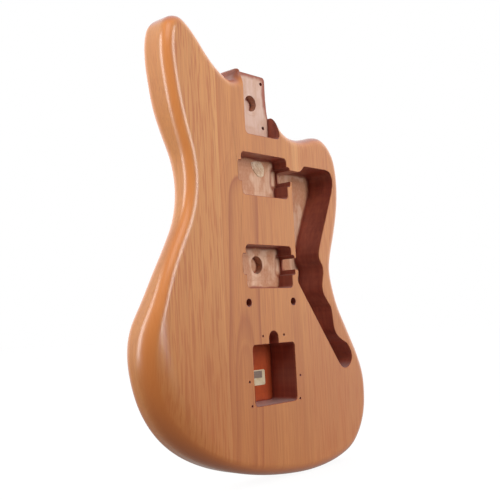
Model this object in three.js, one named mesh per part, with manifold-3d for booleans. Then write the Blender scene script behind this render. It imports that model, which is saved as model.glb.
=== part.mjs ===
// Electric guitar body with an offset waist: three boards glued edge to edge, shaped as one
// slab, and cut from the front for the neck, two pickups, the controls and a tremolo unit.
// A paper label lies in the tremolo cavity and a smear of filler in the neck pickup cavity.
//
// Millimetres. X runs across the body to the treble side, Z along it towards the neck, and
// the front face looks along -Y. Shapes are laid out with Y = 0 on the front face and Z = 0
// at the heel end of the neck pocket. The finished body is then moved as a whole, so that
// its origin lies on the pocket floor, midway between the two lower neck screws.

import * as THREE from 'three';
import { mergeVertices } from 'three/addons/utils/BufferGeometryUtils.js';
import Module from 'manifold-3d';

const wasm = await Module();
wasm.setup();

// The slab
const BODY_WIDTH = 348;
const BODY_LENGTH = 480;
const BODY_THICKNESS = 41.3;
const EDGE_RADIUS = 12.7;
const CENTRE_BOARD_WIDTH = 132;
const CENTRE_BOARD_SHIFT = -6;

// Neck pocket, and the tongue of wood that carries its floor out past the shoulders
const POCKET_WIDTH = 56.5;
const POCKET_LENGTH = 73.7;
const POCKET_DEPTH = 15.9;
const POCKET_CORNER = 5.5;
const TONGUE_CORNER = 4;
const BASS_CHEEK = 2.75;
const TREBLE_STEP = 2.55;
const NECK_SCREW_ACROSS = 38.1;
const NECK_SCREW_FROM_END = 14.6;
const NECK_SCREW_FROM_TOP = 8.3;
const NECK_SCREW_HOLE = 4.2;
const POCKET_BORE = 18;
const POCKET_BORE_DEPTH = 8.2;

// Pickup cavities: one rectangle each, with a deeper ear on either side
const PICKUP_WIDTH = 75;
const PICKUP_LENGTH = 45.8;
const PICKUP_DEPTH = 19.1;
const PICKUP_CORNER = 4.5;
const PICKUP_FROM_POCKET = 20.9;
const PICKUP_SPACING = 99.4;
const EAR_REACH = 5.6;
const EAR_LENGTH = 22;
const EAR_DEPTH = 21.4;
const EAR_CORNER = 3;
const EAR_RISE = 2.4;
const CHANNEL_WIDTH = 12.6;
const CHANNEL_RISE = 1.4;
const PICKUP_BORE = 19.3;
const PICKUP_BORE_DEPTH = 8;
const PICKUP_BORE_RISE = 3.2;

// Control cavity
const CONTROL_DEPTH = 35.8;

// Bridge posts and tremolo cavity
const BRIDGE_FROM_POCKET = 181.5;
const POST_SPACING = 73.5;
const POST_HOLE = 8.4;
const POST_HOLE_DEPTH = 25;
const TREMOLO_FROM_BRIDGE = 44.5;
const TREMOLO_WIDTH = 69.3;
const TREMOLO_LENGTH = 63.4;
const TREMOLO_DEPTH = 35;
const TREMOLO_CORNER = 4.5;
const ARM_SLOT_WIDTH = 15;
const ARM_SLOT_REACH = 13.6;
const PILOT_HOLE = 2.6;
const PILOT_HOLE_DEPTH = 14;

// Loose things that are stuck in the cavities
const LABEL_WIDTH = 40;
const LABEL_HEIGHT = 17;
const LABEL_THICKNESS = 0.4;
const LABEL_CORNER = 2;
const FILLER_THICKNESS = 0.8;

// How far a cutter runs past the face that it breaks through
const OVERRUN = 8;

// Steps of the faceted curves, as counts
const STEPS_PER_POINT = 3;
const EDGE_STEPS = 5;
const WALK_STEPS = 40;
const CORNER_STEPS = 3;
const HOLE_SIDES = 20;
const PILOT_SIDES = 10;

// The outline. The two cutaways start at the sides of the tongue: across is a share of the
// body's width counted from that side, along is a share of the pocket's length.
const trebleCutawayShares = [
  [0, 0.65], [0.0075, 0.366], [0.031, 0.202], [0.064, 0.115], [0.116, 0.088],
];
const bassCutawayShares = [
  [-0.0675, 0.832], [-0.036, 0.787], [-0.013, 0.818], [-0.002, 0.895],
];
// Everything between them, clockwise from the treble horn to the inside of the bass horn:
// across as a share of the body's width, along as a share of its length.
const roundShares = [
  [0.241, 0.020], [0.279, 0.027], [0.313, 0.029], [0.342, 0.021], [0.366, 0.007],
  [0.391, -0.020], [0.405, -0.075], [0.398, -0.142], [0.371, -0.212], [0.341, -0.273],
  [0.333, -0.304], [0.341, -0.338], [0.363, -0.385], [0.411, -0.445], [0.461, -0.507],
  [0.490, -0.558], [0.497, -0.605], [0.486, -0.662], [0.454, -0.706], [0.402, -0.741],
  [0.322, -0.761], [0.201, -0.771], [0.057, -0.766], [-0.101, -0.748], [-0.244, -0.718],
  [-0.345, -0.682], [-0.415, -0.640], [-0.465, -0.588], [-0.494, -0.529], [-0.503, -0.475],
  [-0.493, -0.423], [-0.460, -0.364], [-0.425, -0.304], [-0.389, -0.253], [-0.353, -0.204],
  [-0.332, -0.158], [-0.325, -0.115], [-0.331, -0.071], [-0.352, -0.021], [-0.371, 0.028],
  [-0.387, 0.085], [-0.396, 0.138], [-0.394, 0.179], [-0.381, 0.209], [-0.356, 0.225],
  [-0.329, 0.228], [-0.299, 0.217], [-0.259, 0.192], [-0.227, 0.167], [-0.195, 0.146],
];

// The faces are meshed in rings, from each point of the outline towards a hub on the centre
// line. The hub slides from the first place to the last as the outline runs away from the
// tongue, so that the rings fit the tongue as well as the body. The last rings lie at these
// shares of the way from the rounded edge to the hub.
const hubShares = { first: 0.104, last: -0.3125 };
const frontRingShares = [0.06, 0.13, 0.22];
const backRingShares = [0.09, 0.2, 0.32, 0.46];

// Comfort contours. Each is a ramp that starts on a circle and gets deeper towards the
// bass edge: centre across and along, radius and soft start as shares of the body.
const FOREARM_SLOPE = 0.45;
const forearmShares = { across: 0.086, along: -0.394, radius: 0.39, soft: 0.021 };
const forearmAcrossFadeShares = { from: -0.03, to: -0.2 };
const forearmAlongFadeShares = { from: -0.21, to: -0.33 };
const BELLY_SLOPE = 0.235;
const bellyShares = { across: -0.511, along: -0.192, radius: 0.24, soft: 0.031 };

// The control cavity, clockwise from the upper channel. The first and last lines are
// straight, and the runs between them are smooth curves.
const controlTopShares = [[0.174, -0.07], [0.189, -0.064], [0.199, -0.0565], [0.21, -0.0546]];
const controlShoulderShares = [
  [0.322, -0.0546], [0.342, -0.0585], [0.3545, -0.071], [0.356, -0.0875], [0.348, -0.11],
];
const controlEdgeShares = [
  [0.27, -0.233], [0.259, -0.253], [0.2545, -0.269], [0.259, -0.281], [0.271, -0.294],
  [0.274, -0.308], [0.268, -0.328], [0.264, -0.346], [0.271, -0.3625], [0.289, -0.38],
  [0.3055, -0.395], [0.311, -0.41], [0.314, -0.429], [0.3205, -0.45], [0.336, -0.4655],
  [0.361, -0.477], [0.3865, -0.486], [0.404, -0.502], [0.411, -0.518], [0.401, -0.534],
  [0.378, -0.544], [0.3535, -0.542], [0.335, -0.53],
];
const controlWaistShares = [
  [0.148, -0.345], [0.138, -0.334], [0.137, -0.325], [0.1405, -0.3115], [0.1365, -0.299],
  [0.131, -0.285], [0.1328, -0.275],
];

// Plate screws round the tremolo cavity: half spread as a share of the cavity's width, and
// the way down from its upper edge as a share of its length.
const plateScrewShares = [[0.25, -0.139], [0.605, 0.584], [0.573, 0.98]];
const labelPlaceShares = [0.03, 0.59];

// The filler's edge, in shares of the pickup cavity from its centre
const fillerShares = [
  [-0.017, 0.4], [0.085, 0.435], [0.197, 0.437], [0.24, 0.373], [0.276, 0.279],
  [0.248, 0.09], [0.145, 0.059], [0.069, 0.133], [0.029, 0.212], [-0.009, 0.33],
];

// Sizes that follow from the ones above
const tongueBassX = -(POCKET_WIDTH / 2 + BASS_CHEEK);
const tongueTrebleX = POCKET_WIDTH / 2 - TREBLE_STEP;
const neckPickupZ = -(PICKUP_FROM_POCKET + PICKUP_LENGTH / 2);
const bridgePickupZ = neckPickupZ - PICKUP_SPACING;
const earX = PICKUP_WIDTH / 2 + EAR_REACH;
const tremoloTopZ = -(BRIDGE_FROM_POCKET + TREMOLO_FROM_BRIDGE);
const tremoloEndZ = tremoloTopZ - TREMOLO_LENGTH;
const upperNeckScrewZ = POCKET_LENGTH - NECK_SCREW_FROM_TOP;
const neckScrewMiddleZ = (NECK_SCREW_FROM_END + upperNeckScrewZ) / 2;
const bassSeamX = CENTRE_BOARD_SHIFT - CENTRE_BOARD_WIDTH / 2;
const trebleSeamX = CENTRE_BOARD_SHIFT + CENTRE_BOARD_WIDTH / 2;

// Solids from closed geometries, and back
function solidOf(geometry) {
  const bare = geometry.clone();
  bare.deleteAttribute('normal');
  bare.deleteAttribute('uv');
  const merged = mergeVertices(bare);
  return new wasm.Manifold(new wasm.Mesh({
    numProp: 3,
    vertProperties: new Float32Array(merged.attributes.position.array),
    triVerts: new Uint32Array(merged.index.array),
  }));
}

function geometryOf(solid) {
  const mesh = solid.getMesh();
  const indexed = new THREE.BufferGeometry();
  indexed.setAttribute('position', new THREE.BufferAttribute(mesh.vertProperties, 3));
  indexed.setIndex(new THREE.BufferAttribute(mesh.triVerts, 1));
  const faceted = indexed.toNonIndexed();
  faceted.computeVertexNormals();
  return faceted;
}

// A point of the plan from its shares of the body
function planPoint([across, along]) {
  return new THREE.Vector2(across * BODY_WIDTH, along * BODY_LENGTH);
}

// The outline of the slab as a closed run of points, clockwise from the middle of the
// tongue's end
function slabOutline() {
  const treble = trebleCutawayShares.map(([across, along]) => (
    new THREE.Vector2(tongueTrebleX + across * BODY_WIDTH, along * POCKET_LENGTH)));
  const bass = bassCutawayShares.map(([across, along]) => (
    new THREE.Vector2(tongueBassX + across * BODY_WIDTH, along * POCKET_LENGTH)));
  const knots = [...treble, ...roundShares.map(planPoint), ...bass]
    .map((point) => new THREE.Vector3(point.x, point.y, 0));
  const run = new THREE.CatmullRomCurve3(knots, false, 'centripetal')
    .getPoints((knots.length - 1) * STEPS_PER_POINT)
    .map((point) => new THREE.Vector2(point.x, point.y));
  const top = POCKET_LENGTH - TONGUE_CORNER;
  const trebleX = tongueTrebleX - TONGUE_CORNER;
  const bassX = tongueBassX + TONGUE_CORNER;
  const corner = (x, from, to) => (
    new THREE.ArcCurve(x, top, TONGUE_CORNER, from, to, true).getPoints(CORNER_STEPS));
  return [
    new THREE.Vector2((tongueBassX + tongueTrebleX) / 2, POCKET_LENGTH),
    ...corner(trebleX, Math.PI / 2, 0), ...run, ...corner(bassX, Math.PI, Math.PI / 2),
  ];
}

function distanceToOutline(outline, point) {
  return Math.min(...outline.map((start, i) => {
    const side = outline[(i + 1) % outline.length].clone().sub(start);
    const reach = point.clone().sub(start);
    const share = THREE.MathUtils.clamp(reach.dot(side) / side.lengthSq(), 0, 1);
    return reach.addScaledVector(side, -share).length();
  }));
}

// A ramp that rises from nothing at the start line, with a soft beginning
function ramp(reach, soft) {
  if (reach <= -soft) {
    return 0;
  }
  return reach >= soft ? reach : (reach + soft) ** 2 / (4 * soft);
}

function distanceFrom(shares, point) {
  const centre = planPoint([shares.across, shares.along]);
  return point.distanceTo(centre);
}

// A smooth rise from nothing to one as a share falls from one value to another
function fade(share, { from, to }) {
  return THREE.MathUtils.smoothstep(-share, -from, -to);
}

// How much the forearm contour takes off the front at a point of the plan
function forearmDepth(point) {
  const reach = distanceFrom(forearmShares, point) - forearmShares.radius * BODY_LENGTH;
  const across = fade(point.x / BODY_WIDTH, forearmAcrossFadeShares);
  const along = fade(point.y / BODY_LENGTH, forearmAlongFadeShares);
  return FOREARM_SLOPE * across * along * ramp(reach, forearmShares.soft * BODY_LENGTH);
}

// How much the belly contour takes off the back at a point of the plan
function bellyDepth(point) {
  const reach = bellyShares.radius * BODY_LENGTH - distanceFrom(bellyShares, point);
  return BELLY_SLOPE * ramp(reach, bellyShares.soft * BODY_LENGTH);
}

// How far the rounded edge drops below the face at a distance from the outline
function edgeDrop(distance) {
  const left = Math.max(0, EDGE_RADIUS - distance);
  return EDGE_RADIUS - Math.sqrt(EDGE_RADIUS ** 2 - left ** 2);
}

// The hub of each point of the outline
function outlineHubs(outline) {
  const walked = [0];
  outline.forEach((point, i) => {
    walked.push(walked[i] + point.distanceTo(outline[(i + 1) % outline.length]));
  });
  const whole = walked[outline.length];
  const first = planPoint([0, hubShares.first]);
  const last = planPoint([0, hubShares.last]);
  return outline.map((point, i) => {
    const reach = Math.min(walked[i], whole - walked[i]);
    return new THREE.Vector2(0, Math.max(last.y, first.y - reach));
  });
}

// The rings of the rounded edge in plan, from the outline to the flat. Each point walks
// towards its hub until it is as far from the outline as its ring.
function edgeRings(outline, hubs) {
  const rings = [outline];
  for (let ring = 1; ring <= EDGE_STEPS; ring += 1) {
    const inset = EDGE_RADIUS * (1 - Math.cos((Math.PI / 2) * (ring / EDGE_STEPS)));
    rings.push(rings[ring - 1].map((start, i) => {
      const way = hubs[i].clone().sub(start).normalize();
      const point = start.clone();
      for (let step = 0; step < WALK_STEPS; step += 1) {
        point.addScaledVector(way, Math.max(0, inset - distanceToOutline(outline, point)));
      }
      return point;
    }));
  }
  return rings;
}

// The slab, meshed from the middle of the front face, over the rounded edge and on to the
// middle of the back
function slab() {
  const outline = slabOutline();
  const count = outline.length;
  const hubs = outlineHubs(outline);
  const edge = edgeRings(outline, hubs);
  const sides = [
    { shares: frontRingShares, depth: (point, drop) => forearmDepth(point) + drop },
    {
      shares: backRingShares,
      depth: (point, drop) => BODY_THICKNESS - bellyDepth(point) - drop,
    },
  ];
  const [front, back] = sides.map(({ shares, depth }) => {
    const flat = shares.map((share) => (
      edge[EDGE_STEPS].map((point, i) => point.clone().lerp(hubs[i], share))));
    const rounded = edge.map((ring) => ring.map((point) => {
      const drop = edgeDrop(distanceToOutline(outline, point));
      return [point.x, depth(point, drop), point.y];
    }));
    return [...rounded, ...flat.map((ring) => (
      ring.map((point) => [point.x, depth(point, 0), point.y])))];
  });
  const rings = [...front.toReversed(), ...back];
  const faces = [];
  for (let ring = 0; ring < rings.length - 1; ring += 1) {
    for (let i = 0; i < count; i += 1) {
      const next = (i + 1) % count;
      const here = ring * count;
      const there = here + count;
      faces.push([here + i, there + next, there + i], [here + i, here + next, there + next]);
    }
  }
  const cap = (ring) => {
    const contour = ring.map(([x, , z]) => new THREE.Vector2(x, z));
    return THREE.ShapeUtils.triangulateShape(contour, []);
  };
  const backStart = (rings.length - 1) * count;
  faces.push(...cap(rings[0]));
  faces.push(...cap(rings[rings.length - 1]).map(([a, b, c]) => (
    [backStart + c, backStart + b, backStart + a])));
  const geometry = new THREE.BufferGeometry();
  geometry.setAttribute('position', new THREE.Float32BufferAttribute(rings.flat(2), 3));
  geometry.setIndex(faces.flat());
  return solidOf(geometry);
}

// A plan shape cut straight back from one depth to another
function cut(shape, fromY, toY) {
  const options = { depth: toY - fromY, bevelEnabled: false, curveSegments: CORNER_STEPS };
  const geometry = new THREE.ExtrudeGeometry(shape, options);
  geometry.rotateX(Math.PI / 2).translate(0, toY, 0);
  return solidOf(geometry);
}

function rounded(left, right, bottom, top, radius) {
  const shape = new THREE.Shape();
  shape.absarc(left + radius, bottom + radius, radius, Math.PI, 1.5 * Math.PI);
  shape.absarc(right - radius, bottom + radius, radius, 1.5 * Math.PI, 2 * Math.PI);
  shape.absarc(right - radius, top - radius, radius, 0, Math.PI / 2);
  shape.absarc(left + radius, top - radius, radius, Math.PI / 2, Math.PI);
  shape.closePath();
  return shape;
}

function rectangle(left, right, bottom, top) {
  return new THREE.Shape([
    new THREE.Vector2(left, bottom), new THREE.Vector2(right, bottom),
    new THREE.Vector2(right, top), new THREE.Vector2(left, top),
  ]);
}

// A round hole from the front, ending at a depth
function hole(x, z, diameter, fromY, toY, sides = HOLE_SIDES) {
  const geometry = new THREE.CylinderGeometry(diameter / 2, diameter / 2, toY - fromY, sides);
  geometry.translate(x, (fromY + toY) / 2, z);
  return solidOf(geometry);
}

function neckPocket() {
  const side = POCKET_WIDTH / 2;
  const plan = rounded(-side, side, 0, POCKET_LENGTH + OVERRUN, POCKET_CORNER);
  const cuts = [cut(plan, -OVERRUN, POCKET_DEPTH)];
  const floorOfBore = POCKET_DEPTH + POCKET_BORE_DEPTH;
  cuts.push(hole(0, neckScrewMiddleZ, POCKET_BORE, POCKET_DEPTH - OVERRUN, floorOfBore));
  for (const x of [-NECK_SCREW_ACROSS / 2, NECK_SCREW_ACROSS / 2]) {
    for (const z of [NECK_SCREW_FROM_END, upperNeckScrewZ]) {
      cuts.push(hole(x, z, NECK_SCREW_HOLE, 0, BODY_THICKNESS + OVERRUN, PILOT_SIDES));
    }
  }
  return cuts;
}

// Where the wire channel of a pickup runs
function channelEdges(z) {
  const centre = z + EAR_RISE + CHANNEL_RISE;
  return { bottom: centre - CHANNEL_WIDTH / 2, top: centre + CHANNEL_WIDTH / 2 };
}

function pickupCavity(z) {
  const side = PICKUP_WIDTH / 2;
  const half = PICKUP_LENGTH / 2;
  const ear = EAR_LENGTH / 2;
  const plan = rounded(-side, side, z - half, z + half, PICKUP_CORNER);
  const earZ = z + EAR_RISE;
  const ears = [[-earX, -side + EAR_REACH], [side - EAR_REACH, earX]].map(([left, right]) => (
    cut(rounded(left, right, earZ - ear, earZ + ear, EAR_CORNER), -OVERRUN, EAR_DEPTH)));
  const { bottom, top } = channelEdges(z);
  const channel = rectangle(side, earX + OVERRUN, bottom, top);
  return [
    cut(plan, -OVERRUN, PICKUP_DEPTH), ...ears, cut(channel, -OVERRUN, PICKUP_DEPTH),
  ];
}

// The round hole in the bridge pickup cavity's floor
function pickupBore() {
  const z = bridgePickupZ + PICKUP_BORE_RISE;
  const floorOfBore = PICKUP_DEPTH + PICKUP_BORE_DEPTH;
  return [hole(0, z, PICKUP_BORE, PICKUP_DEPTH - OVERRUN, floorOfBore)];
}

function controlCavity() {
  const shape = new THREE.Shape();
  const waist = controlWaistShares.map(planPoint);
  const { top } = channelEdges(neckPickupZ);
  const start = new THREE.Vector2(waist[waist.length - 1].x, top);
  const runs = [controlTopShares, controlShoulderShares, controlEdgeShares, controlWaistShares];
  shape.moveTo(start.x, start.y);
  for (const [first, ...rest] of runs.map((run) => run.map(planPoint))) {
    shape.lineTo(first.x, first.y);
    shape.splineThru(rest);
  }
  shape.closePath();
  return [cut(shape, -OVERRUN, CONTROL_DEPTH)];
}

function bridgePosts() {
  return [-POST_SPACING / 2, POST_SPACING / 2].map((x) => (
    hole(x, -BRIDGE_FROM_POCKET, POST_HOLE, -OVERRUN, POST_HOLE_DEPTH)));
}

function tremoloCavity() {
  const side = TREMOLO_WIDTH / 2;
  const slot = ARM_SLOT_WIDTH / 2;
  const plan = rounded(-side, side, tremoloEndZ, tremoloTopZ, TREMOLO_CORNER);
  const slotTop = tremoloTopZ + ARM_SLOT_REACH;
  const armSlot = rounded(-slot, slot, tremoloTopZ - ARM_SLOT_WIDTH, slotTop, slot);
  const cuts = [plan, armSlot].map((shape) => cut(shape, -OVERRUN, TREMOLO_DEPTH));
  for (const [spread, down] of plateScrewShares) {
    for (const x of [-spread * TREMOLO_WIDTH, spread * TREMOLO_WIDTH]) {
      const z = tremoloTopZ - down * TREMOLO_LENGTH;
      cuts.push(hole(x, z, PILOT_HOLE, -OVERRUN, PILOT_HOLE_DEPTH, PILOT_SIDES));
    }
  }
  return cuts;
}

// A board is the part of the slab between two upright planes
function board(body, left, right) {
  const width = right - left;
  const thickness = BODY_THICKNESS + 2 * OVERRUN;
  const length = 2 * BODY_LENGTH;
  const block = new THREE.BoxGeometry(width, thickness, length);
  block.translate(left + width / 2, BODY_THICKNESS / 2, planPoint([0, hubShares.last]).y);
  return body.intersect(solidOf(block));
}

function label() {
  const [across, down] = labelPlaceShares;
  const x = across * TREMOLO_WIDTH;
  const z = tremoloTopZ - down * TREMOLO_LENGTH;
  const side = LABEL_WIDTH / 2;
  const half = LABEL_HEIGHT / 2;
  const plan = rounded(x - side, x + side, z - half, z + half, LABEL_CORNER);
  return cut(plan, TREMOLO_DEPTH - LABEL_THICKNESS, TREMOLO_DEPTH);
}

function filler() {
  const points = fillerShares.map(([across, along]) => (
    new THREE.Vector2(across * PICKUP_WIDTH, neckPickupZ + along * PICKUP_LENGTH)));
  const plan = new THREE.Shape();
  plan.moveTo(points[0].x, points[0].y);
  plan.splineThru([...points.slice(1), points[0]]);
  return cut(plan, PICKUP_DEPTH - FILLER_THICKNESS, PICKUP_DEPTH);
}

function paint(color, roughness) {
  return new THREE.MeshStandardMaterial({ color, roughness, metalness: 0 });
}

function piece(name, solid, material) {
  const mesh = new THREE.Mesh(geometryOf(solid), material);
  mesh.name = name;
  return mesh;
}

// The body, cut and then parted at its two glue lines
const cutters = [
  ...neckPocket(), ...pickupCavity(neckPickupZ), ...pickupCavity(bridgePickupZ),
  ...pickupBore(), ...controlCavity(), ...bridgePosts(), ...tremoloCavity(),
];
const body = cutters.reduce((rest, cutter) => rest.subtract(cutter), slab());

const guitarBody = new THREE.Group();
guitarBody.name = 'guitar_body';
guitarBody.add(
  piece('bass_board', board(body, -BODY_WIDTH, bassSeamX), paint('#c98b5e', 0.42)),
  piece('centre_board', board(body, bassSeamX, trebleSeamX), paint('#cc8f60', 0.42)),
  piece('treble_board', board(body, trebleSeamX, BODY_WIDTH), paint('#c5875b', 0.42)),
  piece('tremolo_cavity_label', label(), paint('#cdbb98', 0.8)),
  piece('neck_pickup_filler', filler(), paint('#c4ab8c', 0.5)),
);
guitarBody.position.set(0, -POCKET_DEPTH, -NECK_SCREW_FROM_END);

export default guitarBody;
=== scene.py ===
"""A bare electric guitar body in satin-lacquered wood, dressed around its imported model.

The body is one rounded slab, cut from the front for its fittings and parted at its two glue
lines into three boards. A paper label lies in the tremolo cavity, and a smear of hardened
filler in the neck pickup cavity. Lengths are in metres. Shapes are laid out on a plan of the
front face, as points (across, along) with their zero at the heel end of the neck pocket, and
depths are counted from the front face inwards.
"""

import logging
import math
from dataclasses import dataclass
from enum import Enum, IntEnum
from typing import Sequence

import bmesh
import bpy
import numpy as np
from mathutils import Matrix, Vector


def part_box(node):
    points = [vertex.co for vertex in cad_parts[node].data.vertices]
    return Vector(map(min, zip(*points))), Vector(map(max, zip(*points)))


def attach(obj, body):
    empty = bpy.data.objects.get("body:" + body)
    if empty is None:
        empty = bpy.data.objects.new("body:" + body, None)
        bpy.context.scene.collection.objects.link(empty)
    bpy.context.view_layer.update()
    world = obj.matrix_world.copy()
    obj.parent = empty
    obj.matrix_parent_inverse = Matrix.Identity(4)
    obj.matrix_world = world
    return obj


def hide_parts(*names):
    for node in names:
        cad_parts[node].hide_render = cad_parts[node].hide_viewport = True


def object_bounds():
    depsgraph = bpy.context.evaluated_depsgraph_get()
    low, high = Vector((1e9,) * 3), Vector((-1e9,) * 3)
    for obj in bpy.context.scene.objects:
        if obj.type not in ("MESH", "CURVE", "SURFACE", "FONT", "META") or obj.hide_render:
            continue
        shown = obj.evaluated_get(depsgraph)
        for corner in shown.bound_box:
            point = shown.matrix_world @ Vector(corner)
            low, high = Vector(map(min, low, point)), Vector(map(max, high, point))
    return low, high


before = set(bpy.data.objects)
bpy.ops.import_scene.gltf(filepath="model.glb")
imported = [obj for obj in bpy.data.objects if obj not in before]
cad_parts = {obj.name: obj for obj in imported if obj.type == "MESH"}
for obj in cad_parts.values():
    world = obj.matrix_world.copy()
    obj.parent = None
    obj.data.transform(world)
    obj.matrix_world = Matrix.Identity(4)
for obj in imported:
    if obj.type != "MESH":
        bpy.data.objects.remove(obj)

log = logging.getLogger("guitar_body")

CAD_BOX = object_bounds()
OVERRUN = 0.008
FINE_GRID, WIDE_GRID = 0.0025, 0.003
CORNER_STEPS = 6
WALL_DISTANCE = "wall_distance"
UP = Vector((0, 0, 1))

Plan = np.ndarray
Pair = tuple[float, float]
Shares = Sequence[Pair]
Triple = tuple[float, float, float]
Colour = tuple[float, float, float, float]


class Surface(IntEnum):
    """What a face of the body is, as the index of its material slot."""

    LACQUER = 0
    WALL = 1
    FLOOR = 2
    DARK_FLOOR = 3
    POCKET_FLOOR = 4
    BORE_WALL = 5


class Board(Enum):
    """The three glued boards, from the bass side to the treble side."""

    BASS = "bass_board"
    CENTRE = "centre_board"
    TREBLE = "treble_board"


@dataclass(frozen=True)
class Layout:
    """Where the plan of the front face lies in the row frame.

    Attributes:
        front: Y of the front face.
        heel: Z of the heel end of the neck pocket.
    """

    front: float
    heel: float

    @classmethod
    def of_frame(cls, tongue_length: float) -> "Layout":
        """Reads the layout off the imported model, whose tongue ends so far above the heel."""
        low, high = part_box(Board.CENTRE.value)
        return cls(front=low.y, heel=high.z - tongue_length)

    def place(self, plan: Plan, depth: float | np.ndarray) -> np.ndarray:
        """Puts plan points into the row frame, at one depth for all of them or one each."""
        depths = np.broadcast_to(depth, len(plan))
        return np.column_stack((plan[:, 0], self.front + depths, self.heel + plan[:, 1]))


def smooth_run(knots: Plan, steps: int) -> Plan:
    """Runs a smooth centripetal curve through points of the plan.

    Args:
        knots: the points that it passes.
        steps: how many steps it takes from one to the next.

    Returns:
        The points along it, both ends included.
    """
    ends = np.vstack((2 * knots[0] - knots[1], knots, 2 * knots[-1] - knots[-2]))
    run = []
    for a, b, c, d in zip(ends, ends[1:], ends[2:], ends[3:]):
        before, between, after = (math.sqrt(np.linalg.norm(q - p)) for p, q in ((a, b), (b, c), (c, d)))
        leave = ((b - a) / before - (c - a) / (before + between) + (c - b) / between) * between
        arrive = ((c - b) / between - (d - b) / (between + after) + (d - c) / after) * between
        for step in range(steps):
            t = step / steps
            bend = (3 * (c - b) - 2 * leave - arrive) * t ** 2
            run.append(b + leave * t + bend + (2 * (b - c) + leave + arrive) * t ** 3)
    return np.array([*run, knots[-1]])


def arc(centre: Pair, radius: float, start: float, end: float, steps: int = CORNER_STEPS) -> Plan:
    """Lays points round an arc, from a start to an end that are given in quarter turns."""
    angles = np.linspace(start, end, steps + 1) * math.pi / 2
    return np.column_stack((centre[0] + radius * np.cos(angles), centre[1] + radius * np.sin(angles)))


def rounded_rectangle(low: Pair, high: Pair, radius: float) -> Plan:
    """Lays out a rectangle with rounded corners.

    Args:
        low: its bass and lower sides.
        high: its treble and upper sides.
        radius: the radius of its corners.

    Returns:
        Its outline, anticlockwise on the plan.
    """
    left, bottom = low[0] + radius, low[1] + radius
    right, top = high[0] - radius, high[1] - radius
    centres = ((left, bottom), (right, bottom), (right, top), (left, top))
    return np.vstack([arc(c, radius, 2 + i, 3 + i) for i, c in enumerate(centres)])


def circle(centre: Pair, radius: float, steps: int = 32) -> Plan:
    """Lays out a circle as a closed run of points, anticlockwise on the plan."""
    return arc(centre, radius, 0, 4, steps)[:-1]


def outset(plan: Plan, distance: float) -> Plan:
    """Moves each point of an anticlockwise outline outwards, square to the line there.

    Args:
        plan: the outline.
        distance: how far.

    Returns:
        The wider outline.
    """
    along = np.roll(plan, -1, axis=0) - np.roll(plan, 1, axis=0)
    outwards = np.column_stack((along[:, 1], -along[:, 0]))
    return plan + distance * outwards / np.linalg.norm(outwards, axis=1, keepdims=True)


def distance_to_line(points: Plan, starts: Plan, ends: Plan) -> np.ndarray:
    """Measures how far points lie from the nearest of some straight lines.

    Args:
        points: the points.
        starts: where each line starts.
        ends: where each line ends.

    Returns:
        One distance for each point.
    """
    side = ends - starts
    reach = points[:, None, :] - starts[None, :, :]
    share = np.clip((reach * side).sum(2) / np.maximum((side ** 2).sum(1), 1e-18), 0, 1)
    return np.sqrt(((reach - share[..., None] * side) ** 2).sum(2).min(1))


def smoothstep(low: float, high: float, value: np.ndarray) -> np.ndarray:
    """Rises smoothly from 0 at low to 1 at high."""
    t = np.clip((value - low) / (high - low), 0, 1)
    return t * t * (3 - 2 * t)


def ramp(reach: np.ndarray, soft: float) -> np.ndarray:
    """Rises evenly past a start line, with a soft beginning on either side of it."""
    beginning = np.clip(reach + soft, 0, 2 * soft) ** 2 / (4 * soft)
    return np.where(reach >= soft, reach, beginning)


def deselect_all() -> None:
    """Leaves nothing selected."""
    bpy.ops.object.select_all(action="DESELECT")


def take_up(piece: bpy.types.Object) -> None:
    """Selects one piece alone and makes it the active one.

    Args:
        piece: the piece.
    """
    deselect_all()
    piece.select_set(True)
    bpy.context.view_layer.objects.active = piece


def apply_modifier(piece: bpy.types.Object, kind: str, **settings: object) -> None:
    """Adds one modifier to a piece and applies it.

    Args:
        piece: the piece.
        kind: the modifier's type.
        **settings: its settings.
    """
    take_up(piece)
    modifier = piece.modifiers.new(kind.lower(), kind)
    for name, value in settings.items():
        setattr(modifier, name, value)
    bpy.ops.object.modifier_apply(modifier=modifier.name)


def smooth_by_angle(piece: bpy.types.Object, degrees: float) -> None:
    """Shades a piece smooth, but for the edges that are sharper than an angle."""
    take_up(piece)
    bpy.ops.object.shade_smooth_by_angle(angle=math.radians(degrees))


def loft(name: str, rings: Sequence[np.ndarray]) -> bpy.types.Object:
    """Models a closed solid by extruding a filled circle from ring to ring.

    Args:
        name: the new object's name.
        rings: the places of each ring's points, all of them equally many.

    Returns:
        The solid, whose first and last rings are closed by one face each.
    """
    deselect_all()
    count = len(rings[0])
    bpy.ops.mesh.primitive_circle_add(vertices=count, fill_type="NGON")
    piece = bpy.context.object
    piece.name = piece.data.name = name
    bpy.ops.object.mode_set(mode="EDIT")
    for turn, ring in enumerate(rings):
        if turn:
            bpy.ops.mesh.extrude_region_move()
        mesh = bmesh.from_edit_mesh(piece.data)
        mesh.verts.ensure_lookup_table()
        for vertex, place in zip(mesh.verts[-count:], ring):
            vertex.co = place
        bmesh.update_edit_mesh(piece.data)
    bpy.ops.mesh.select_all(action="SELECT")
    bpy.ops.mesh.normals_make_consistent(inside=False)
    bpy.ops.object.mode_set(mode="OBJECT")
    return piece


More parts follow.
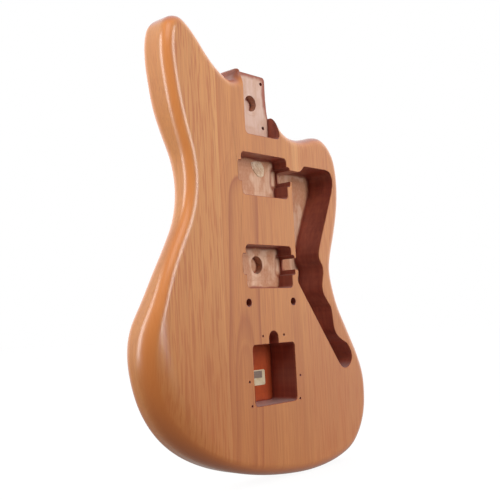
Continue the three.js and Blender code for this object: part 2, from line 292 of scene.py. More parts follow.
class Output:
    """What a node gives, with which sums can be written."""

    def __init__(self, nodes: "Nodes", socket: bpy.types.NodeSocket) -> None:
        """Takes up one socket of a node."""
        self.nodes, self.socket = nodes, socket

    def step(self, operation: str, other: "Output | float" = 0.0) -> "Output":
        """Works out one arithmetic step, with a second number where it takes one."""
        return self.nodes.give("Math", {0: self, 1: other}, operation=operation)

    def __add__(self, other: "Output | float") -> "Output":
        """Adds a number."""
        return self.step("ADD", other)

    def __sub__(self, other: "Output | float") -> "Output":
        """Takes a number away."""
        return self.step("SUBTRACT", other)

    def __mul__(self, other: "Output | float") -> "Output":
        """Multiplies by a number."""
        return self.step("MULTIPLY", other)

    def __truediv__(self, other: "Output | float") -> "Output":
        """Divides by a number."""
        return self.step("DIVIDE", other)

    def __pow__(self, other: float) -> "Output":
        """Raises to a power."""
        return self.step("POWER", other)

    def __abs__(self) -> "Output":
        """Drops the sign."""
        return self.step("ABSOLUTE")


class Nodes:
    """A tree of shader nodes, added one by one."""

    def __init__(self, tree: bpy.types.NodeTree) -> None:
        """Takes up the tree that the nodes go into."""
        self.tree = tree

    def add(self, kind: str, inputs: dict | None = None, **settings: object) -> bpy.types.Node:
        """Adds a node.

        Args:
            kind: the node's type, without its usual beginning.
            inputs: what each input takes, by its name or number: an output or a value.
            **settings: the node's own settings.

        Returns:
            The node.
        """
        node = self.tree.nodes.new(f"ShaderNode{kind}")
        for name, value in settings.items():
            setattr(node, name, value)
        for name, value in (inputs or {}).items():
            self.feed(node, name, value)
        return node

    def feed(self, node: bpy.types.Node, name: str | int, value: object) -> None:
        """Links an output to a node's input, or sets the input's value.

        Args:
            node: the node.
            name: the input's name or number.
            value: the output or the value.
        """
        if isinstance(value, Output):
            self.tree.links.new(value.socket, node.inputs[name])
        else:
            node.inputs[name].default_value = value

    def give(self, kind: str, inputs: dict | None = None, output: str | int = 0,
             **settings: object) -> Output:
        """Adds a node like add, and takes up the output of this name or number."""
        return Output(self, self.add(kind, inputs, **settings).outputs[output])

    def split(self, vector: Output) -> list[Output]:
        """Takes X, Y and Z out of a vector."""
        return [Output(self, socket) for socket in self.add("SeparateXYZ", {0: vector}).outputs]

    def along(self, vector: Output, way: Vector) -> Output:
        """Measures how far a vector reaches in one direction."""
        return self.give("VectorMath", {0: vector, 1: way}, "Value", operation="DOT_PRODUCT")

    def spread(self, value: Output, low: float, high: float, start: float | Output = 0.0,
               end: float | Output = 1.0, kind: str = "LINEAR") -> Output:
        """Maps a value from low and high to start and end, and keeps it between them."""
        inputs = dict(enumerate((value, low, high, start, end)))
        return self.give("MapRange", inputs, interpolation_type=kind)

    def ease(self, value: Output, low: float, high: float, start: float = 0.0,
             end: float = 1.0) -> Output:
        """Maps a value like spread, but with a soft start and end."""
        return self.spread(value, low, high, start, end, "SMOOTHSTEP")

    def greys(self, value: Output, stops: Shares) -> Output:
        """Turns a value into a grey.

        Args:
            value: the value.
            stops: values and their greys, in rising order.

        Returns:
            The grey, which also serves as a number.
        """
        node = self.add("ValToRGB", {"Fac": value})
        elements = node.color_ramp.elements
        while len(elements) < len(stops):
            elements.new(1.0)
        for element, (position, grey) in zip(elements, stops):
            element.position, element.color = position, (grey, grey, grey, 1)
        return Output(self, node.outputs["Color"])


class Recipe(Nodes):
    """The nodes of one procedural material, whose colour is laid on layer by layer."""

    def __init__(self, name: str, colour: Colour, level: float = 0.0) -> None:
        """Starts a material whose patterns follow the piece's own coordinates.

        Args:
            name: the material's name.
            colour: its ground colour.
            level: Z from which heights are counted.
        """
        self.colour = colour
        self.material = bpy.data.materials.new(name)
        self.material.use_nodes = True
        super().__init__(self.material.node_tree)
        self.place = self.give("TexCoord", output="Object")
        self.x, _, z = self.split(self.place)
        self.height = z - level

    def noise(self, scale: float, stretch: Triple = (1, 1, 1), detail: float = 3.0) -> Output:
        """Adds a noise pattern in stretched coordinates, mostly from 0.3 to 0.7."""
        place = self.give("Mapping", {"Vector": self.place, "Scale": stretch})
        return self.give("TexNoise", {"Vector": place, "Scale": scale, "Detail": detail}, "Fac")

    def lay(self, strength: Output | float, colour: Output | Colour, blend: str = "MIX") -> None:
        """Lays a colour over the ones so far, more or less strongly."""
        inputs = {0: strength, 6: self.colour, 7: colour}
        self.colour = self.give("Mix", inputs, 2, data_type="RGBA", blend_type=blend)

    def facing(self) -> list[Output]:
        """Gives X, Y and Z of the direction that the surface faces."""
        return self.split(self.give("NewGeometry", output="Normal"))

    def finish(self, roughness: Output | float, bump: Output | None = None, depth: float = 0.0001,
               **settings: object) -> bpy.types.Material:
        """Feeds the shader and closes the recipe.

        Args:
            roughness: the roughness.
            bump: a height pattern, if the surface has one.
            depth: how deep that pattern goes.
            **settings: the shader's other inputs, with spaces as underscores.

        Returns:
            The material.
        """
        shader = self.tree.nodes["Principled BSDF"]
        for name, value in {"base_color": self.colour, "roughness": roughness, **settings}.items():
            self.feed(shader, name.replace("_", " ").title().replace("Ior", "IOR"), value)
        if bump is not None:
            height = {"Height": bump, "Strength": 1.0, "Distance": depth}
            self.feed(shader, "Normal", self.give("Bump", height, "Normal"))
        return self.material


def shade(red: float, green: float, blue: float) -> Colour:
    """Gives a linear colour from the 0 to 255 values that a colour picker shows."""
    linear = [((value / 255 + 0.055) / 1.055) ** 2.4 for value in (red, green, blue)]
    return (*linear, 1.0)


@dataclass(frozen=True)
class Figure:
    """How the growth rings lie in one board: tall arches, one round the other.

    Attributes:
        heart: X of the arches' middle, level with the heel.
        spacing: how far apart the many faint rings are.
        waver: how far all the rings wander.
        strength: how strongly the faint rings show.
        bands: how strongly the broad soft bands show.
        streaks: how strongly the short streaks show.
        lean: how far the middle moves across with each metre up.
        uneven: how unevenly the faint rings follow one another, in spacings.
        crests: where the arches close: from and to how high over the heel, and how many
            metres of half breadth close there.
        rings: the half breadth and the strength of each ring that stands out.
        wander: the noises that the rings wander by: scale, stretch, and share of waver.
        year_greys: how dark a faint ring is, from the year's start to its end.
        line_shares: how dark a ring that stands out is, at distances inside its dark line.
        reach: the half breadth of the widest ring that can stand out.
    """

    heart: float
    spacing: float
    waver: float
    strength: float
    bands: float
    streaks: float
    lean: float = 0.0
    uneven: float = 1.5
    crests: Sequence[tuple[float, float, float]] = ()
    rings: Shares = ()
    wander: Sequence[tuple[float, Triple, float]] = (
        (9.0, (1, 1, 0.4), 4.0), (60.0, (1, 1, 0.14), 1.2),
    )
    year_greys: Shares = (
        (0.0, 0.25), (0.1, 0.0), (0.4, 0.05), (0.7, 0.45), (0.86, 1.0), (1.0, 0.25),
    )
    line_shares: Shares = (
        (0.007, 0.0), (0.0035, 0.3), (0.0014, 0.6), (0.0, 1.0), (-0.0014, 0.0),
    )
    reach: float = 0.1

    def radius(self, recipe: Recipe) -> Output:
        """Says which arch each place lies on.

        Args:
            recipe: the material's recipe, with heights counted from the heel.

        Returns:
            The arch's half breadth.
        """
        across = recipe.x - (recipe.height * self.lean + self.heart)
        for scale, stretch, share in self.wander:
            across = across + (recipe.noise(scale, stretch, 2.0) - 0.5) * (self.waver * share)
        closed = 0.0
        for low, high, rise in self.crests:
            closed = recipe.ease(recipe.height, low, high, 0.0, rise) + closed
        return (abs(across) ** 3 + abs(closed) ** 3) ** (1 / 3)

    def darkness(self, recipe: Recipe) -> Output:
        """Lays the growth rings through the board.

        Args:
            recipe: the material's recipe, with heights counted from the heel.

        Returns:
            How dark the rings make each place, from 0 to 1.
        """
        radius = self.radius(recipe)
        turns = radius / self.spacing
        chance = recipe.give("TexNoise", {"W": turns, "Scale": 0.7, "Detail": 0.0}, "Fac",
                             noise_dimensions="1D")
        turns = turns + chance * self.uneven
        bands = recipe.greys(turns.step("FRACT"), self.year_greys)
        year = recipe.give("TexWhiteNoise", {"W": turns.step("FLOOR")}, "Value",
                           noise_dimensions="1D")
        wane = recipe.spread(recipe.noise(22.0, (2.5, 1, 0.4), 1.0), 0.35, 0.65, 0.35, 1.0)
        faint = bands * (recipe.spread(year, 0.0, 1.0, 0.3, 1.0) * wane) * self.strength
        if not self.rings:
            return faint
        stops = [(0.0, 0.0)]
        for ring, depth in self.rings:
            stops += [((ring - inside) / self.reach, depth * share)
                      for inside, share in self.line_shares]
        return faint.step("MAXIMUM", recipe.greys(radius / self.reach, stops))


@dataclass(frozen=True)
class Stripe:
    """A lighter or darker stripe along the side of a board.

    Attributes:
        start: X where it begins.
        full: X where it has reached its strength.
        colour: its colour.
        high, low: its strength near the heel and further down.
        fade: the heights over the heel between which the low turns into the high.
    """

    start: float
    full: float
    colour: Colour
    high: float
    low: float
    fade: Pair = (-0.085, -0.015)

    def strength(self, recipe: Recipe) -> Output:
        """Says how strongly the stripe shows at each place."""
        band = recipe.spread(recipe.x, self.start, self.full)
        return band * recipe.spread(recipe.height, *self.fade, self.low, self.high)


@dataclass(frozen=True)
class SatinWood:
    """Pale wood under satin lacquer, with growth rings, streaks, fibres and pores.

    Attributes:
        name: the material's name.
        figure: how its growth rings lie.
        pale, ripe: the two tones that the wood drifts between.
        late: the dark line at the end of each ring.
        end_grain_and_shade: the colour of wood that is cut across on the lower rounded edge; it is also
            painted shade, laid over the lower part of the body and over its downward faces.
        top_grain: the colour of wood that is cut across and faces up.
        pore: the colour of the short dark flecks.
        lit_edge_tone: painted light on the rounded edge, a more orange and slightly brighter tone than
            the face.
        stripes: its lighter and darker stripes.
        streak_lengths: the scale of each layer of short streaks, and how they are drawn out.
        shade_heights: the heights over the heel at which the painted shade on the lower body starts and
            is full; it darkens the rounded edge most.
        tongue_sides: how far from the middle the stain on the tongue's sides ends and is full.
        tongue_rise: the heights over the heel at which that stain starts and is full.
    """

    name: str
    figure: Figure
    pale: Colour = shade(192, 130, 70)
    ripe: Colour = shade(181, 113, 57)
    late: Colour = shade(168, 94, 42)
    end_grain_and_shade: Colour = shade(148, 72, 20)
    top_grain: Colour = shade(146, 70, 50)
    pore: Colour = shade(142, 70, 30)
    lit_edge_tone: Colour = shade(203, 125, 65)
    stripes: Sequence[Stripe] = ()
    streak_lengths: Shares = ((380.0, 0.055), (640.0, 0.04))
    shade_heights: Pair = (-0.13, -0.31)
    tongue_sides: Pair = (0.055, 0.042)
    tongue_rise: Pair = (0.052, 0.066)

    def material(self, heel: float) -> bpy.types.Material:
        """Makes the material.

        Args:
            heel: Z of the heel end of the neck pocket.

        Returns:
            The material.
        """
        recipe = Recipe(self.name, self.pale, heel)
        fibre = recipe.noise(620.0, (1, 1, 0.012), 2.0)
        self.grow(recipe, fibre)
        for stripe in self.stripes:
            recipe.lay(stripe.strength(recipe), stripe.colour)
        self.round_off(recipe)
        return recipe.finish(0.5, bump=fibre, depth=0.00003, specular_ior_level=0.2,
                             coat_weight=0.9, coat_roughness=0.26, coat_ior=1.5)

    def grow(self, recipe: Recipe, fibre: Output) -> None:
        """Lays rings, bands, streaks, fibres and flecks over the bare wood.

        Args:
            recipe: the material's recipe.
            fibre: the pattern of the fibres.
        """
        inwards = abs(recipe.facing()[1])
        flat = recipe.ease(inwards, 0.55, 0.97)
        patch = recipe.spread(recipe.noise(9.0, (1, 1, 0.2), 2.0), 0.32, 0.68)
        recipe.lay(patch, self.ripe)
        recipe.lay(self.figure.darkness(recipe) * flat, self.late)
        broad = recipe.ease(recipe.noise(55.0, (1, 1, 0.05), 2.0), 0.46, 0.7, 0.0, self.figure.bands)
        recipe.lay(broad * flat, self.late)
        seen = recipe.spread(inwards, 0.3, 0.95, 0.12, self.figure.streaks)
        for scale, length in self.streak_lengths:
            streak = recipe.ease(recipe.noise(scale, (1, 0.35, length), 1.0), 0.55, 0.64)
            recipe.lay(streak * seen, self.late)
        shine = recipe.spread(fibre, 0.3, 0.7, 0.92, 1.07)
        recipe.lay(1.0, recipe.give("CombineXYZ", {0: shine, 1: shine, 2: shine}), "MULTIPLY")
        fleck = recipe.spread(recipe.noise(700.0, (1, 1, 0.05), 1.0), 0.66, 0.78, 0.0, 0.3)
        recipe.lay(fleck, self.pore)

    def round_off(self, recipe: Recipe) -> None:
        """Lays painted light over the rounded edges and painted shade over the lower body. It also lays
        the cut ends of the grain over faces that turn up and down, with painted shade on those that
        turn down.

        Args:
            recipe: the material's recipe.
        """
        _, backwards, upwards = recipe.facing()
        inwards = abs(backwards)
        edge = recipe.spread(inwards, 0.1, 0.5) * recipe.spread(inwards, 0.99, 0.82)
        # Painted light: the rounded edge gets a more orange, slightly brighter tone than the face.
        recipe.lay(edge * 0.8, self.lit_edge_tone)
        # Painted shade: the lower body darkens towards the bottom in the cut-grain colour, the rounded
        # edge most.
        deeper = recipe.ease(recipe.height, *self.shade_heights)
        recipe.lay(deeper * recipe.spread(edge, 0.0, 1.0, 0.33, 0.62), self.end_grain_and_shade)
        # Faces turned downwards darken: their cut grain, with painted shade where less light reaches
        # them.
        lower = recipe.ease(upwards, -0.10, -0.8, 0.0, 0.5)
        recipe.lay(lower * recipe.spread(inwards, 0.05, 0.5, 0.3, 1.0), self.end_grain_and_shade)
        recipe.lay(recipe.ease(upwards, 0.3, 0.85, 0.0, 0.9), self.top_grain)
        tongue = recipe.spread(abs(recipe.x), *self.tongue_sides)
        tongue = tongue * recipe.spread(recipe.height, *self.tongue_rise)
        recipe.lay(tongue * recipe.spread(inwards, 0.97, 0.6, 0.0, 0.85), self.top_grain)


@dataclass(frozen=True)
class RoutedWall:
    """Stained wood on the walls of a cavity or a bore, with dust on those that face up.

    Attributes:
        name: the material's name.
        deep, warm: the two tones that the stain drifts between.
        dust: the colour of the dust.
    """

    name: str = "routed_wall"
    deep: Colour = shade(134, 57, 45)
    warm: Colour = shade(170, 87, 66)
    dust: Colour = shade(176, 152, 148)

    def material(self) -> bpy.types.Material:
        """Makes the material.

        Returns:
            The material.
        """
        recipe = Recipe(self.name, self.deep)
        chatter = recipe.noise(210.0, (1, 0.02, 1), 2.0)
        grain = recipe.noise(300.0, (1, 1, 0.03), 3.0)
        cloud = recipe.noise(28.0, (1, 1, 0.6), 2.0)
        tone = chatter * 0.2 + cloud * 0.45 + grain * 0.35
        recipe.lay(recipe.spread(tone, 0.38, 0.62), self.warm)
        upwards = recipe.facing()[2]
        settled = recipe.spread(upwards, 0.5, 0.98) * recipe.spread(tone, 0.3, 0.6, 1.0, 0.6)
        recipe.lay(settled, self.dust)
        return recipe.finish(0.5, bump=chatter, depth=0.00015, specular_ior_level=0.4,
                             coat_weight=0.6, coat_roughness=0.4)


@dataclass(frozen=True)
class CavityFloor:
    """A cavity's floor: bare wood inside a border that the lacquer has stained.

    Attributes:
        name: the material's name.
        bare: the colour of the bare wood.
        worn: the colour of its darker patches.
        stain: the colour of the border.
        width: how far the stain reaches from the wall.
        patches: how strongly the patches show.
        gloss: how much lacquer lies on it.
        cutter_pass: how far apart the ridges are that the cutter left.
    """

    name: str
    bare: Colour
    worn: Colour
    stain: Colour
    width: float
    patches: float = 0.8
    gloss: float = 0.0
    cutter_pass: float = 0.0095

    def material(self) -> bpy.types.Material:
        """Makes the material.

        Returns:
            The material.
        """
        recipe = Recipe(self.name, self.bare)
        grain = recipe.noise(330.0, (1, 1, 0.04), 3.0)
        swirl = recipe.noise(70.0, (1, 1, 0.6), 6.0)
        cloud = recipe.noise(30.0, (1, 1, 0.8), 2.0)
        fuzz = recipe.noise(620.0, (1, 1, 0.5), 2.0)
        distance = recipe.give("Attribute", output="Fac", attribute_name=WALL_DISTANCE)
        recipe.lay(recipe.spread(grain, 0.3, 0.7, 0.0, 0.5), self.worn)
        blotch = swirl * 0.6 + cloud * 0.4
        recipe.lay(recipe.ease(blotch, 0.45, 0.55, 0.0, self.patches), self.worn)
        recipe.lay(recipe.spread(fuzz, 0.35, 0.7, 0.0, 0.3), self.bare)
        ridge = recipe.ease((distance / self.cutter_pass).step("FRACT"), 0.90, 0.98)
        recipe.lay(ridge * 0.22, self.worn)
        reach = distance + (swirl - 0.5) * (self.width * 2.2)
        border = recipe.ease(reach, self.width * 0.3, self.width * 1.2, 0.85, 0.0)
        recipe.lay(border, self.stain)
        return recipe.finish(0.6, bump=fuzz + ridge * 0.8, depth=0.00012,
                             specular_ior_level=0.25, coat_weight=self.gloss, coat_roughness=0.22)


@dataclass(frozen=True)
class LabelPaper:
    """Cream paper with a plain grey block near its upper edge, a little soiled.

    Attributes:
        block: X and Z of the block's corners: bass, treble, lower, upper.
        blur: how soft the block's sides are.
    """

    block: tuple[float, float, float, float]
    name: str = "label_paper"
    cream: Colour = shade(206, 190, 160)
    soiled: Colour = shade(184, 160, 124)
    grey: Colour = shade(112, 92, 86)
    blur: float = 0.0003

    def material(self) -> bpy.types.Material:
        """Makes the material.

        Returns:
            The material.
        """
        recipe = Recipe(self.name, self.cream)
        fibre = recipe.noise(1400.0)
        cloud = recipe.noise(90.0)
        recipe.lay(recipe.spread(cloud, 0.4, 0.7), self.soiled)
        ink = recipe.spread(fibre, 0.3, 0.7, 0.75, 1.0)
        places = (recipe.x, recipe.x, recipe.height, recipe.height)
        for place, side, inwards in zip(places, self.block, (1, -1, 1, -1)):
            ink = ink * recipe.spread(place, side, side + inwards * self.blur)
        recipe.lay(ink, self.grey)
        return recipe.finish(0.6, bump=fibre, depth=0.00003)


@dataclass(frozen=True)
class DriedFiller:
    """Greenish-cream filler that has dried with a slight gloss."""

    name: str = "dried_filler"
    thin: Colour = shade(178, 138, 106)
    thick: Colour = shade(212, 184, 152)

    def material(self) -> bpy.types.Material:
        """Makes the material.

        Returns:
            The material.
        """
        recipe = Recipe(self.name, self.thin)
        lumps = recipe.noise(170.0, detail=4.0)
        tone = lumps * 0.7 + recipe.noise(900.0, detail=2.0) * 0.3
        recipe.lay(recipe.spread(tone, 0.4, 0.62), self.thick)
        gloss = recipe.spread(lumps, 0.35, 0.65, 0.18, 0.42)
        return recipe.finish(gloss, bump=tone, depth=0.0005, coat_weight=0.6,
                             coat_roughness=0.12)


# The wood of each board, and the finish of each surface that is cut into it.
WOODS = {
    Board.BASS: SatinWood(
        "bass_wood",
        Figure(heart=0.40, spacing=0.0072, waver=0.0016, strength=0.6, bands=0.15, streaks=0.7),
        stripes=(Stripe(-0.080, -0.075, shade(214, 160, 98), high=0.22, low=0.12),)),
    Board.CENTRE: SatinWood(
        "centre_wood",
        Figure(heart=-0.033, spacing=0.0062, waver=0.0014, strength=0.35, bands=0.3, streaks=0.2,
               lean=0.053,
               crests=((-0.300, -0.180, 0.0135), (-0.075, -0.015, 0.017), (-0.4, 0.1, 0.006)),
               rings=((0.0105, 0.45), (0.0148, 0.7), (0.025, 0.95), (0.034, 0.15), (0.046, 0.3))),
        pale=shade(190, 125, 64), late=shade(150, 78, 34),
        stripes=(Stripe(0.047, 0.050, shade(214, 158, 98), high=0.34, low=0.04),
                 Stripe(-0.066, -0.071, shade(168, 88, 36), high=0.4, low=0.1))),
    Board.TREBLE: SatinWood(
        "treble_wood",
        Figure(heart=-0.30, spacing=0.0046, waver=0.003, strength=0.5, bands=0.15, streaks=0.5),
        pale=shade(188, 122, 66)),
}
CUT_FINISHES = {
    Surface.WALL: RoutedWall(),
    Surface.BORE_WALL: RoutedWall(
        "bore_wall", shade(170, 116, 88), shade(204, 154, 126), shade(214, 178, 156)),
    Surface.FLOOR: CavityFloor(
        "bare_floor", shade(212, 174, 148), shade(172, 110, 74), shade(132, 58, 36),
        width=0.0032),
    Surface.POCKET_FLOOR: CavityFloor(
        "pocket_floor", shade(205, 174, 160), shade(184, 142, 118), shade(138, 62, 44),
        width=0.0026, patches=0.5),
    Surface.DARK_FLOOR: CavityFloor(
        "lacquered_floor", shade(170, 70, 28), shade(138, 50, 18), shade(112, 40, 20),
        width=0.002, patches=0.5, gloss=0.2),
}


@dataclass
class Slab:
    """The rounded slab that the boards make up, before it is cut.

    Attributes:
        layout: where the plan lies.
        width, length, thickness: its overall size.
        edge_radius: the radius of the rounded edge, front and back.
        tongue_bass, tongue_treble: where the tongue's sides lie.
        tongue_length: how far the tongue reaches past the heel end of the pocket.
        tongue_corner: the radius of the tongue's corners.
        inside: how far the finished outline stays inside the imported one.
        walk_steps, walk_end: how often a point is moved inwards at most, and how near to its
            aim it may stop.
        front_ring_shares, back_ring_shares: how far inwards each ring of the faces lies.
        hub_first_share, hub_last_share: where the centre line begins and ends.
        treble_cutaway_shares, bass_cutaway_shares: the outline beside the tongue.
        round_shares: the rest of it, from the treble horn round to the bass one.
        forearm_centre_shares, forearm_radius_share: the round line where that contour starts.
        belly_centre_shares, belly_radius_share: the same for the belly's.
    """

    layout: Layout
    width: float = 0.348
    length: float = 0.480
    thickness: float = 0.0413
    edge_radius: float = 0.0127
    tongue_bass: float = -0.031
    tongue_treble: float = 0.0257
    tongue_length: float = 0.0737
    tongue_corner: float = 0.004
    inside: float = 0.00013
    steps_per_point: int = 8
    edge_steps: int = 12
    walk_steps: int = 40
    walk_end: float = 0.000002
    front_ring_shares: Sequence[float] = tuple(0.02 * i for i in range(1, 14))
    back_ring_shares: Sequence[float] = tuple(0.03 * i for i in range(1, 22))
    hub_first_share: float = 0.104
    hub_last_share: float = -0.3125
    treble_cutaway_shares: Shares = (
        (0, 0.65), (0.0075, 0.366), (0.031, 0.202), (0.064, 0.115), (0.116, 0.088),
    )
    bass_cutaway_shares: Shares = (
        (-0.0675, 0.832), (-0.036, 0.787), (-0.013, 0.818), (-0.002, 0.895),
    )
    round_shares: Shares = (
        (0.241, 0.020), (0.279, 0.027), (0.313, 0.029), (0.342, 0.021), (0.366, 0.007),
        (0.391, -0.020), (0.405, -0.075), (0.398, -0.142), (0.371, -0.212), (0.341, -0.273),
        (0.333, -0.304), (0.341, -0.338), (0.363, -0.385), (0.411, -0.445), (0.461, -0.507),
        (0.490, -0.558), (0.497, -0.605), (0.486, -0.662), (0.454, -0.706), (0.402, -0.741),
        (0.322, -0.761), (0.201, -0.771), (0.057, -0.766), (-0.101, -0.748), (-0.244, -0.718),
        (-0.345, -0.682), (-0.415, -0.640), (-0.465, -0.588), (-0.494, -0.529), (-0.503, -0.475),
        (-0.493, -0.423), (-0.460, -0.364), (-0.425, -0.304), (-0.389, -0.253), (-0.353, -0.204),
        (-0.332, -0.158), (-0.325, -0.115), (-0.331, -0.071), (-0.352, -0.021), (-0.371, 0.028),
        (-0.387, 0.085), (-0.396, 0.138), (-0.394, 0.179), (-0.381, 0.209), (-0.356, 0.225),
        (-0.329, 0.228), (-0.299, 0.217), (-0.259, 0.192), (-0.227, 0.167), (-0.195, 0.146),
    )
    forearm_slope: float = 0.45
    forearm_centre_shares: Pair = (0.086, -0.394)
    forearm_radius_share: float = 0.39
    forearm_soft_share: float = 0.021
    forearm_across_fade_shares: Pair = (0.03, 0.2)
    forearm_along_fade_shares: Pair = (0.21, 0.33)
    belly_slope: float = 0.235
    belly_centre_shares: Pair = (-0.511, -0.192)
    belly_radius_share: float = 0.24
    belly_soft_share: float = 0.031

    def point(self, shares: Pair | Shares) -> Plan:
        """Turns shares of the slab's width and length into one point or more of the plan."""
        return np.array(shares) * (self.width, self.length)

    def outline(self) -> Plan:
        """Lays out the slab's outline.

        Returns:
            Its points, clockwise from the middle of the tongue's end.
        """
        scale = np.array((self.width, self.tongue_length))
        treble = np.array(self.treble_cutaway_shares) * scale + (self.tongue_treble, 0)
        bass = np.array(self.bass_cutaway_shares) * scale + (self.tongue_bass, 0)
        knots = np.vstack((treble, self.point(self.round_shares), bass))
        radius = self.tongue_corner
        top = self.tongue_length - radius
        middle = ((self.tongue_bass + self.tongue_treble) / 2, self.tongue_length)
        outline = np.vstack((
            middle,
            arc((self.tongue_treble - radius, top), radius, 1, 0),
            smooth_run(knots, self.steps_per_point),
            arc((self.tongue_bass + radius, top), radius, 2, 1),
        ))
        return outset(outline, self.inside)

    def hubs(self, outline: Plan) -> Plan:
        """Finds the point of the centre line that each point of the outline faces.

        Args:
            outline: the outline.

        Returns:
            One hub for each point.
        """
        steps = np.linalg.norm(np.roll(outline, -1, axis=0) - outline, axis=1)
        walked = np.concatenate(([0], np.cumsum(steps)[:-1]))
        reach = np.minimum(walked, steps.sum() - walked)
        first, last = self.hub_first_share * self.length, self.hub_last_share * self.length
        return np.column_stack((np.zeros(len(outline)), np.maximum(last, first - reach)))

    def inset_rings(self, outline: Plan, hubs: Plan) -> list[Plan]:
        """Walks the outline inwards over the rounded edge.

        Args:
            outline: the outline.
            hubs: what each of its points walks towards.

        Returns:
            The rings, from the outline to where the flat begins.
        """
        ends = np.roll(outline, -1, axis=0)
        rings = [outline]
        for turn in range(1, self.edge_steps + 1):
            inset = self.edge_radius * (1 - math.cos(math.pi / 2 * turn / self.edge_steps))
            ring = rings[-1].copy()
            way = hubs - ring
            way /= np.linalg.norm(way, axis=1, keepdims=True)
            walking = np.arange(len(ring))
            for _ in range(self.walk_steps):
                short = inset - distance_to_line(ring[walking], outline, ends)
                walking, short = walking[short > self.walk_end], short[short > self.walk_end]
                ring[walking] += way[walking] * short[:, None]
            rings.append(ring)
        return rings

    def edge_drop(self, plan: Plan, outline: Plan) -> np.ndarray:
        """Says how far the rounded edge drops below the face at points of the plan."""
        left = self.edge_radius - distance_to_line(plan, outline, np.roll(outline, -1, axis=0))
        return self.edge_radius - np.sqrt(self.edge_radius ** 2 - np.maximum(0, left) ** 2)

    def forearm_depth(self, plan: Plan) -> np.ndarray:
        """Says how much the forearm contour takes off the front.

        Args:
            plan: points of the plan.

        Returns:
            The depth at each point.
        """
        centre = self.point(self.forearm_centre_shares)
        reach = np.linalg.norm(plan - centre, axis=1) - self.forearm_radius_share * self.length
        across = smoothstep(*self.forearm_across_fade_shares, -plan[:, 0] / self.width)
        along = smoothstep(*self.forearm_along_fade_shares, -plan[:, 1] / self.length)
        depth = ramp(reach, self.forearm_soft_share * self.length)
        return self.forearm_slope * across * along * depth

    def belly_depth(self, plan: Plan) -> np.ndarray:
        """Says how much the belly contour takes off the back.

        Args:
            plan: points of the plan.

        Returns:
            The depth at each point.
        """
        centre = self.point(self.belly_centre_shares)
        reach = self.belly_radius_share * self.length - np.linalg.norm(plan - centre, axis=1)
        return self.belly_slope * ramp(reach, self.belly_soft_share * self.length)

    def build(self) -> bpy.types.Object:
        """Models the slab from the middle of its front, over the edge, to the middle of its back.

        Returns:
            The slab.
        """
        outline = self.outline()
        hubs = self.hubs(outline)
        edge = self.inset_rings(outline, hubs)
        flat = edge[-1]
        dropped = [(ring, self.edge_drop(ring, outline)) for ring in edge]
        front, back = ([(flat + share * (hubs - flat), 0.0) for share in shares]
                       for shares in (self.front_ring_shares, self.back_ring_shares))
        rings = [self.layout.place(ring, self.forearm_depth(ring) + drop)
                 for ring, drop in reversed(dropped + front)]
        rings += [self.layout.place(ring, self.thickness - self.belly_depth(ring) - drop)
                  for ring, drop in dropped + back]
        return loft("slab", rings)


@dataclass
class Cutter:
    """A shape that is cut straight down into the body from the front.

    Attributes:
        plan: its outline, anticlockwise.
        depth: how deep it goes.
        floor: what its floor is.
        mouth: how far its edge is eased where it starts; 0 leaves it sharp.
        rim: how deep that edge lies.
        top: the depth at which the cutter ends above it.
        grid: how far apart the lines lie that divide its floor; 0 leaves it whole.
        mouth_shares: how deep and how wide each step of the eased edge is.
        level: how straight a face must look into the body to be the floor.
    """

    plan: Plan
    depth: float
    floor: Surface = Surface.WALL
    mouth: float = 0.0006
    rim: float = 0.0
    top: float = -OVERRUN
    grid: float = 0.0
    mouth_shares: Shares = ((1.0, 0.0), (0.3, 0.3), (0.0, 1.0))
    level: float = 0.9

    @classmethod
    def bore(cls, plan: Plan, rim: float, depth: float, floor: Surface, mouth: float) -> "Cutter":
        """Makes the cutter of a bore that goes so much deeper than the floor it starts in."""
        return cls(plan, rim + depth, floor, mouth, rim, top=rim - OVERRUN, grid=WIDE_GRID)

    @classmethod
    def pair(cls, across: float, along: float, width: float, depth: float, steps: int = 32,
             **settings: float) -> list["Cutter"]:
        """Makes the cutters of two round holes, one on either side of the middle line."""
        centres = ((-across, along), (across, along))
        return [cls(circle(centre, width / 2, steps), depth, **settings) for centre in centres]

    def build(self, layout: Layout) -> bpy.types.Object:
        """Models the cutter.

        Args:
            layout: where the plan lies.

        Returns:
            The cutter, with its floor and walls in their material slots.
        """
        levels = [(self.depth, 0.0)]
        if self.mouth:
            levels += [(self.rim + self.mouth * deep, self.mouth * wide)
                       for deep, wide in self.mouth_shares]
        levels.append((self.top, self.mouth))
        rings = [layout.place(outset(self.plan, wider), depth) for depth, wider in levels]
        piece = loft("cutter", rings)
        for _ in Surface:
            piece.data.materials.append(None)
        for polygon in piece.data.polygons:
            polygon.material_index = self.surface_of(polygon, layout)
        if self.grid:
            self.divide_floor(piece)
        return piece

    def surface_of(self, polygon: bpy.types.MeshPolygon, layout: Layout) -> Surface:
        """Says what one face of the cutter leaves behind.

        Args:
            polygon: the face.
            layout: where the plan lies.

        Returns:
            Its surface.
        """
        if polygon.normal.y > self.level:
            return self.floor
        if polygon.center.y - layout.front >= self.rim + self.mouth or not self.mouth:
            return Surface.BORE_WALL if self.rim else Surface.WALL
        return self.floor if self.rim else Surface.LACQUER

    def divide_floor(self, piece: bpy.types.Object) -> None:
        """Divides the floor by straight lines both ways, so that it can carry a stain.

        Args:
            piece: the cutter.
        """
        take_up(piece)
        corners = np.array([vertex.co for vertex in piece.data.vertices])
        bpy.ops.object.mode_set(mode="EDIT")
        bpy.ops.mesh.select_mode(type="FACE")
        for axis, normal in ((0, (1, 0, 0)), (2, (0, 0, 1))):
            low, high = corners[:, axis].min(), corners[:, axis].max()
            for place in np.arange(low + self.grid, high, self.grid):
                mesh = bmesh.from_edit_mesh(piece.data)
                for face in mesh.faces:
                    of_floor = face.material_index == self.floor
                    face.select_set(of_floor and face.normal.y > self.level)
                mesh.select_flush_mode()
                bpy.ops.mesh.bisect(plane_co=[place * part for part in normal], plane_no=normal)
        bpy.ops.object.mode_set(mode="OBJECT")


